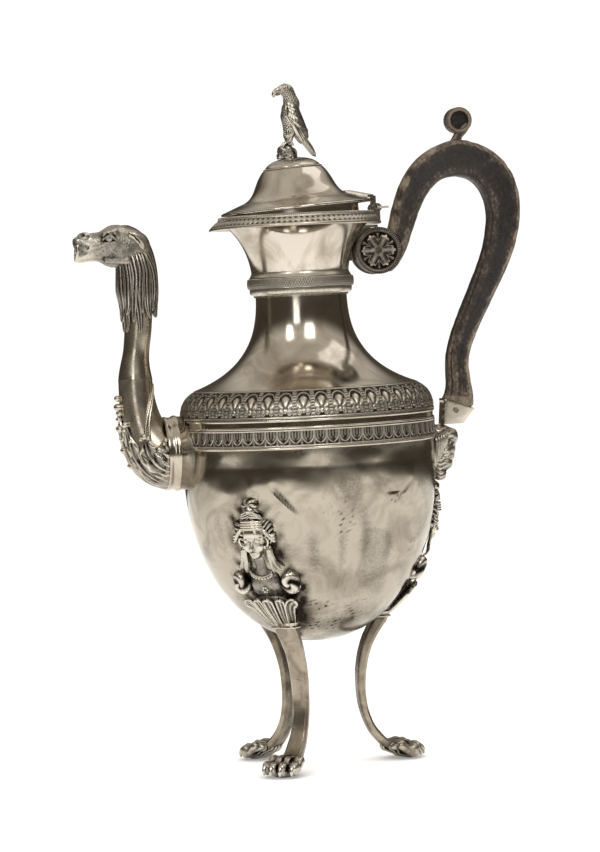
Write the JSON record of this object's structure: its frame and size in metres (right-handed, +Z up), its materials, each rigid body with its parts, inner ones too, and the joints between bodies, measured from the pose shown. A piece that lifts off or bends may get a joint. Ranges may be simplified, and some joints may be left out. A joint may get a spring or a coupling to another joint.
{
  "type": "silver coffee pot",
  "caption": "Silver coffee pot on three cast legs with a horse-head spout, a hinged lid with a bird finial and a scrolled wooden handle.",
  "frame": {"origin": "on the floor under the pot's axis, midway between the reach of the spout and of the handle", "axes": "+Z up along the pot's axis; +X towards the handle; -X towards the spout; the pot is the same on both sides of the XZ plane"},
  "size_m": [0.2228, 0.1238, 0.3309],
  "materials": {
    "polished_silver": "worn polish with warm tarnish",
    "chased_silver": "chased ornament, dark in its recesses",
    "cast_silver": "cast and chased, tarnished in its recesses",
    "dark_wood": "dark carved fruitwood, worn and scraped"
  },
  "bodies": {
    "pot": {"bowl": "polished_silver", "lower_band": "chased_silver", "upper_band": "chased_silver", "band_wires": "chased_silver", "neck_cone": "polished_silver", "neck_collar": "chased_silver", "neck_flare": "polished_silver", "mouth_rim": "polished_silver", "spout_collar": "polished_silver", "spout_elbow": "polished_silver", "spout_leaves": "cast_silver", "spout_tube": "polished_silver", "horse_head": "cast_silver", "horse_mane": "cast_silver", "grip": "dark_wood", "front_rosette": "chased_silver", "back_rosette": "chased_silver", "scroll_rivet": "polished_silver", "neck_bracket": "polished_silver", "grip_socket": "polished_silver", "socket_rivet": "polished_silver", "mask_bracket": "cast_silver", "front_leg": "polished_silver", "back_leg": "polished_silver", "handle_leg": "polished_silver", "front_paw": "cast_silver", "back_paw": "cast_silver", "handle_paw": "cast_silver", "front_leaf_cup": "cast_silver", "back_leaf_cup": "cast_silver", "handle_leaf_cup": "cast_silver", "front_bust": "cast_silver", "back_bust": "cast_silver", "handle_bust": "cast_silver", "rim_knuckles": "chased_silver", "hinge_pin": "chased_silver"},
    "lid": {"lid_hinge_leaf": "chased_silver", "lid_bell": "polished_silver", "lid_bezel": "polished_silver", "lid_cap": "polished_silver", "cap_wire": "chased_silver", "finial_rock": "cast_silver", "finial_bird": "cast_silver", "finial_nut": "polished_silver"}
  },
  "joints": [
    {"name": "lid_hinge", "type": "hinge", "parent": "pot", "child": "lid", "pos_m": [0.0385, 0, 0.269], "axis": [0, 1, 0], "range_deg": [0, 70]}
  ]
}
